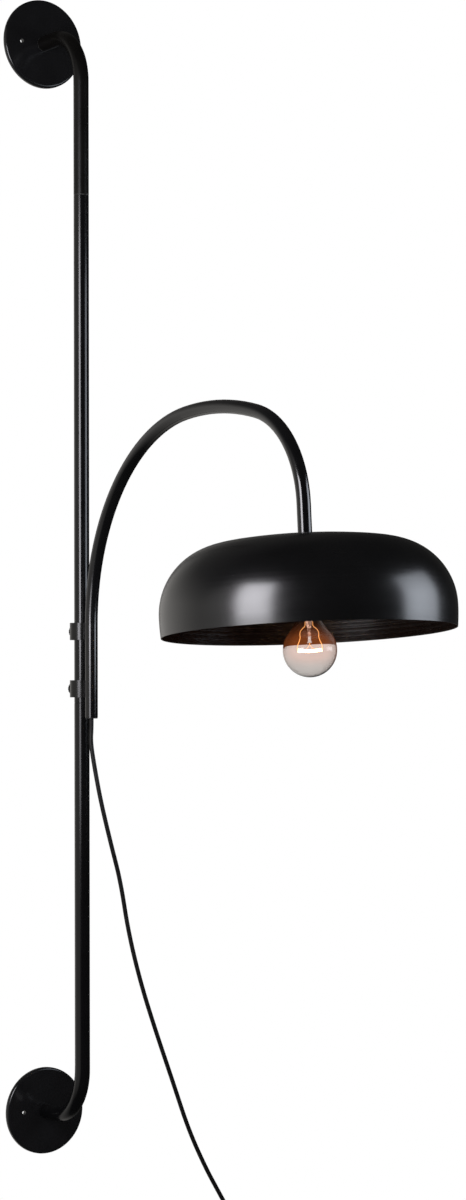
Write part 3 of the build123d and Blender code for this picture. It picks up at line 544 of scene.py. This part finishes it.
def haloLevel(net, coords, halo):
    # how strongly the painted glow shows at each point of the glass, with painted glints on the stem
    s = glassSettings
    haloZ = lampPoint(0, halo["depth"]).z
    off = mathNode(net, "ABSOLUTE", mathNode(net, "SUBTRACT", splitAxes(net, coords)["Z"], haloZ))
    level = rangeNode(net, off, 0.0, halo["reach"], 1.0, 0.0, smooth=True)
    if "sparkle" in halo:  # painted glints, lit only here and there
        spots = noiseNode(net, coords, s["sparkleScale"], *s["sparkleNoise"])
        dim = halo["sparkle"] - s["sparkleSpan"]
        share = rangeNode(net, spots, dim, halo["sparkle"], s["sparkleLeast"], 1.0)
    else:
        facing = net.nodes.new("ShaderNodeLayerWeight").outputs["Facing"]
        share = rangeNode(net, facing, *s["haloFacing"])
    return mathNode(net, "MULTIPLY", level, share)


def glassMaterial(name, color, waves, halo):
    s = glassSettings
    material, net, shader = newMaterial(name)
    shader.inputs["Base Color"].default_value = (*color, 1)
    shader.inputs["Roughness"].default_value = 0.0
    shader.inputs["IOR"].default_value = s["ior"]
    shader.inputs["Transmission Weight"].default_value = 1.0
    coords = net.nodes.new("ShaderNodeTexCoord").outputs["Object"]
    bump = net.nodes.new("ShaderNodeBump")
    bump.inputs["Strength"].default_value = waves
    bump.inputs["Distance"].default_value = s["waveHeight"]
    net.links.new(noiseNode(net, coords, s["waveScale"], *s["waveNoise"]), bump.inputs["Height"])
    net.links.new(bump.outputs["Normal"], shader.inputs["Normal"])
    # the painted glow and glints go into the glass's emission
    lit = mixColor(net, haloLevel(net, coords, halo), (0, 0, 0, 1), (*halo["color"], 1))
    net.links.new(lit, shader.inputs["Emission Color"])
    shader.inputs["Emission Strength"].default_value = halo["strength"]
    clear = net.nodes.new("ShaderNodeBsdfTransparent")
    clear.inputs["Color"].default_value = s["shadowTint"]
    rays = net.nodes.new("ShaderNodeLightPath").outputs
    passing = mathNode(net, "MAXIMUM", rays["Is Shadow Ray"], rays["Is Diffuse Ray"])
    mix = net.nodes.new("ShaderNodeMixShader")
    net.links.new(passing, mix.inputs["Fac"])
    net.links.new(shader.outputs[0], mix.inputs[1])
    net.links.new(clear.outputs[0], mix.inputs[2])
    net.links.new(mix.outputs[0], net.nodes["Material Output"].inputs["Surface"])
    return material


def addGlobe(s):
    glass = glassMaterial("clearGlass", s["tint"], s["waves"], s["halo"])
    globe = turnOnLamp("bulbGlobe", bulbProfile(s), False, s["steps"])
    globe.data.materials.append(glass)
    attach(globe, "arm")
    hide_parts("bulb_glass")
    print("bulb turned:", len(globe.data.polygons), "faces")
    return globe


globe = addGlobe(bulbSettings)

mountSettings = {
    "turn": radians(-33),  # the filament's line, about the lamp's axis
    "stem": [(0.0, 0.0702), (0.0110, 0.0702), (0.0104, 0.0722), (0.0074, 0.0750), (0.0058, 0.0790),
             (0.0052, 0.0850), (0.0050, 0.0910), (0.0047, 0.0950), (0.0038, 0.0985), (0.0024, 0.1005),
             (0.0018, 0.1030), (0.0017, 0.1150), (0.0024, 0.1172), (0.0028, 0.1186), (0.0022, 0.1200),
             (0.0, 0.1205)],
    "stemSteps": 40,
    "press": (0.0880, 0.0995, 1.60, 0.5),  # from depth, to depth, wider along, thinner across
    "stemTint": (0.96, 0.97, 0.96), "stemWaves": 0.05,
    # painted glow and glints on the stem's glass press
    "stemHalo": {"depth": 0.096, "reach": 0.022, "color": (1.0, 0.56, 0.40), "strength": 1.5,
                 "sparkle": 0.68},
    "wire": [(0.0042, 0.0950), (0.0042, 0.0980), (0.0046, 0.1004), (0.0066, 0.1020), (0.0090, 0.1042),
             (0.0106, 0.1072), (0.0102, 0.1108), (0.0106, 0.1145), (0.0124, 0.1182), (0.0137, 0.1218),
             (0.0139, 0.1252), (0.0133, 0.1270), (0.0128, 0.1268)],
    "wireWidth": 0.0006,
    "anchor": [(0.0, 0.1185), (0.0006, 0.1215), (0.0030, 0.1240), (0.0046, 0.1262), (0.0050, 0.1276)],
    "anchorWidth": 0.00035,
    "filamentDepth": 0.1263, "span": 0.0262, "sag": 0.0010, "filamentWidth": 0.0007,
    "coilRadius": 0.0015, "coilTurns": 17, "pointsPerTurn": 10,
    "hot": {"color": (1.0, 0.60, 0.26), "strength": 130.0},
    # painted glow on the lead and anchor wires, which are no lamp
    "paintedWireGlow": {"color": (1.0, 0.40, 0.11), "strength": 3.6, "glowFadeRise": 0.036, "glowFaded": 0.35},
}


def mountPoint(s, along, depth, across=0.0):
    turn = Matrix.Rotation(s["turn"], 3, lampAxis["up"])
    inPlane = lampAxis["crown"] + turn @ Vector((along, 0, 0)) - lampAxis["up"] * depth
    return inPlane + turn @ (lampAxis["up"].cross(Vector((1, 0, 0))) * across)


def addStem(s):
    glass = glassMaterial("stemGlass", s["stemTint"], s["stemWaves"], s["stemHalo"])
    stem = turnOnLamp("bulbStemGlass", s["stem"], False, s["stemSteps"])
    top, bottom, wide, thin = s["press"]
    bpy.ops.object.mode_set(mode="EDIT")
    bpy.ops.mesh.select_all(action="DESELECT")
    bpy.ops.object.mode_set(mode="OBJECT")
    for v in stem.data.vertices:
        depth = -(v.co - lampAxis["crown"]).dot(lampAxis["up"])
        v.select = top < depth < bottom
    bpy.ops.object.mode_set(mode="EDIT")
    along = mountPoint(s, 1, 0) - mountPoint(s, 0, 0)
    across = lampAxis["up"].cross(along)
    axes = Matrix((along, across, lampAxis["up"]))
    bpy.ops.transform.resize(value=(wide, thin, 1), orient_matrix=axes, orient_matrix_type="LOCAL",
                             orient_type="LOCAL", center_override=lampPoint(0, (top + bottom) / 2))
    bpy.ops.object.mode_set(mode="OBJECT")
    stem.data.materials.append(glass)
    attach(stem, "arm")
    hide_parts("bulb_stem")
    print("bulb stem turned")


glowSettings = {
    "metal": (0.25, 0.2, 0.16, 1), "rough": 0.35,
    "flickerScale": 400.0, "flickerNoise": (2.0, 0.5), "flicker": (0.3, 0.7, 0.75, 1.0),
}
oneBounce = 0.5  # a ray's count of bounces is over this once it has made one


def glowMaterial(name, glow, hotZ):
    s = glowSettings
    material, net, shader = newMaterial(name)
    coords = net.nodes.new("ShaderNodeTexCoord").outputs["Object"]
    shader.inputs["Base Color"].default_value = s["metal"]
    shader.inputs["Metallic"].default_value = 1.0
    shader.inputs["Roughness"].default_value = s["rough"]
    glowLevel = rangeNode(net, noiseNode(net, coords, s["flickerScale"], *s["flickerNoise"]), *s["flicker"])
    if "glowFadeRise" in glow:  # painted glow on the wires, dimmer with height above the filament
        glowFadeZ = hotZ + glow["glowFadeRise"]
        level = rangeNode(net, splitAxes(net, coords)["Z"], glowFadeZ, hotZ, glow["glowFaded"], 1.0)
        glowLevel = mathNode(net, "MULTIPLY", level, glowLevel)
    bounces = net.nodes.new("ShaderNodeLightPath").outputs["Glossy Depth"]
    direct = mathNode(net, "LESS_THAN", bounces, oneBounce)  # else it sparks in the gloss paint
    glowLevel = mathNode(net, "MULTIPLY", glowLevel, direct)
    lit = mixColor(net, glowLevel, (0, 0, 0, 1), (*glow["color"], 1))
    net.links.new(lit, shader.inputs["Emission Color"])
    shader.inputs["Emission Strength"].default_value = glow["strength"]
    return material


def coilRun(s):
    count = s["coilTurns"] * s["pointsPerTurn"]
    points = []
    for i in range(count + 1):
        t = i / count
        angle = 2 * pi * s["coilTurns"] * t
        sag = s["sag"] * 4 * t * (1 - t)  # deepest in the middle
        depth = s["filamentDepth"] + sag + s["coilRadius"] * cos(angle)
        points.append(mountPoint(s, (t - 0.5) * s["span"], depth, s["coilRadius"] * sin(angle)))
    return points


def addFilament(s):
    filamentZ = lampPoint(0, s["filamentDepth"]).z
    hot = glowMaterial("hotFilament", s["hot"], filamentZ)
    # the wires' painted glow
    paintedWireGlow = glowMaterial("paintedGlowWire", s["paintedWireGlow"], filamentZ)
    for name, side, node in (("bulbLeftWire", -1, "bulb_left_wire"),
                             ("bulbRightWire", 1, "bulb_right_wire")):
        points = [mountPoint(s, side * a, d) for a, d in s["wire"]]
        wire = newCurve(name, points, s["wireWidth"], roundness=3, fine=5)
        wire.data.materials.append(paintedWireGlow)
        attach(wire, "arm")
        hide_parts(node)
    for name, side in (("bulbLeftAnchor", -1), ("bulbRightAnchor", 1)):
        points = [mountPoint(s, side * a, d) for a, d in s["anchor"]]
        anchor = newCurve(name, points, s["anchorWidth"], roundness=2, fine=4)
        anchor.data.materials.append(paintedWireGlow)
        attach(anchor, "arm")
    coil = newCurve("bulbFilamentCoil", coilRun(s), s["filamentWidth"], roundness=2, fine=2)
    coil.data.materials.append(hot)
    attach(coil, "arm")
    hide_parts("bulb_filament")
    print("filament wound with", s["coilTurns"], "turns")


addStem(mountSettings)
addFilament(mountSettings)

whiteLight = (0.95, 0.94, 1.0)
blueLight = (0.84, 0.90, 1.0)
lampSettings = {  # place, aimed at, width, height, watts per square metre, spread in degrees, colour
    "leftSoftbox": ((-1.23, -0.92, -0.39), (0.0, -0.40, -0.39), 0.60, 0.78, 27.2, 180, whiteLight),
    "leftLower": ((-1.23, -0.92, -0.915), (0.0, -0.40, -0.915), 0.60, 0.27, 9.6, 180, whiteLight),
    "rightSoftbox": ((0.88, -1.17, -0.46), (0.12, -0.66, -0.60), 0.72, 0.70, 2.88, 85, blueLight),
}


def addLamp(name, place, target, width, height, power, spread, color):
    data = bpy.data.lights.new(name, "AREA")
    data.shape = "RECTANGLE"
    data.size, data.size_y = width, height
    data.energy = power * width * height
    data.spread = radians(spread)
    data.color = color
    lamp = bpy.data.objects.new(name, data)
    scene.collection.objects.link(lamp)
    lamp.location = place
    lamp.rotation_mode = "QUATERNION"
    lamp.rotation_quaternion = (Vector(target) - Vector(place)).to_track_quat("-Z", "Y")
    lamp.visible_camera = False
    lamp.visible_transmission = False


bulbLight = {
    "power": 0.6, "color": (1.0, 0.42, 0.14), "radius": 0.006,
    "depth": 0.1303,  # just under the filament
}


def addBulbLight(s):
    data = bpy.data.lights.new("bulbGlow", "POINT")
    data.energy = s["power"]
    data.color = s["color"]
    data.shadow_soft_size = s["radius"]
    light = bpy.data.objects.new("bulbGlow", data)
    scene.collection.objects.link(light)
    light.location = lampPoint(0, s["depth"])
    light.parent = globe  # it follows the arm
    light.visible_camera = False
    light.visible_transmission = False
    light.visible_glossy = False


worldSettings = {
    "diffuse": 0.30,  # what lights the object from all round
    "front": 0.015,  # what a glossy surface sees towards the room
    "wall": 0.64,  # towards the wall behind the lamp
    "wallY": (0.30, 0.94),
    "wallFades": {"X": (0.25, 0.60, 1.0, 0.06), "Z": (0.10, 0.55, 1.0, 0.15)},  # to the right, upwards
    "left": 0.36,  # and far to the left
    "leftX": (-0.79, -0.95),
    "tint": (1.0, 0.97, 0.93, 1),
}


def addWorld(s):
    world = bpy.data.worlds.new("studioWorld")
    scene.world = world
    world.use_nodes = True
    net = world.node_tree
    back = net.nodes["Background"]
    rays = net.nodes.new("ShaderNodeLightPath").outputs
    through = rays["Is Transmission Ray"]
    mirrored = mathNode(net, "GREATER_THAN", rays["Glossy Depth"], oneBounce)
    inGlass = mathNode(net, "MULTIPLY", through, mirrored)  # came off the glass, then out through it
    glossy = mathNode(net, "MAXIMUM", rays["Is Glossy Ray"], inGlass)
    clear = mathNode(net, "SUBTRACT", through, inGlass)
    seen = mathNode(net, "MAXIMUM", rays["Is Camera Ray"], clear)
    axes = splitAxes(net, net.nodes.new("ShaderNodeTexCoord").outputs["Generated"])
    wall = rangeNode(net, axes["Y"], *s["wallY"], 0.0, 1.0)
    for axis, fade in s["wallFades"].items():
        wall = mathNode(net, "MULTIPLY", wall, rangeNode(net, axes[axis], *fade))
    room = rangeNode(net, wall, 0.0, 1.0, s["front"], s["wall"])
    room = mathNode(net, "ADD", room, rangeNode(net, axes["X"], *s["leftX"], 0.0, s["left"]))
    level = rangeNode(net, glossy, 0.0, 1.0, s["diffuse"], room)
    net.links.new(mathNode(net, "MAXIMUM", seen, level), back.inputs["Strength"])
    net.links.new(mixColor(net, glossy, (1, 1, 1, 1), s["tint"]), back.inputs["Color"])


floorSettings = {
    "place": (0, -0.3, -2.16),  # clear of the plug with the arm slid right down
    "radius": 1.3, "sides": 96,
    "color": (0.86, 0.86, 0.86, 1), "rough": 0.9, "specular": 0.1,
    "lift": 0.6,  # brings it near white for the camera alone
}


def addFloor(s):
    bpy.ops.object.select_all(action="DESELECT")
    bpy.ops.mesh.primitive_circle_add(vertices=s["sides"], radius=s["radius"], fill_type="NGON",
                                      location=s["place"])
    floor = bpy.context.object
    floor.name = "studioFloor"
    floor.visible_glossy = False
    material, net, shader = newMaterial("paleFloor")
    shader.inputs["Base Color"].default_value = s["color"]
    shader.inputs["Roughness"].default_value = s["rough"]
    shader.inputs["Specular IOR Level"].default_value = s["specular"]
    lift = net.nodes.new("ShaderNodeEmission")
    rays = net.nodes.new("ShaderNodeLightPath").outputs
    net.links.new(mathNode(net, "MULTIPLY", rays["Is Camera Ray"], s["lift"]), lift.inputs["Strength"])
    both = net.nodes.new("ShaderNodeAddShader")
    net.links.new(shader.outputs[0], both.inputs[0])
    net.links.new(lift.outputs[0], both.inputs[1])
    side = net.nodes.new("ShaderNodeMixShader")  # nothing hides the object from below
    net.links.new(net.nodes.new("ShaderNodeNewGeometry").outputs["Backfacing"], side.inputs["Fac"])
    net.links.new(both.outputs[0], side.inputs[1])
    net.links.new(net.nodes.new("ShaderNodeBsdfTransparent").outputs[0], side.inputs[2])
    net.links.new(side.outputs[0], net.nodes["Material Output"].inputs["Surface"])
    floor.data.materials.append(material)


for name, values in lampSettings.items():
    addLamp(name, *values)
addBulbLight(bulbLight)
addWorld(worldSettings)
addFloor(floorSettings)
scene.view_settings.view_transform = "Standard"
print("studio lit with", len(lampSettings), "lamps")
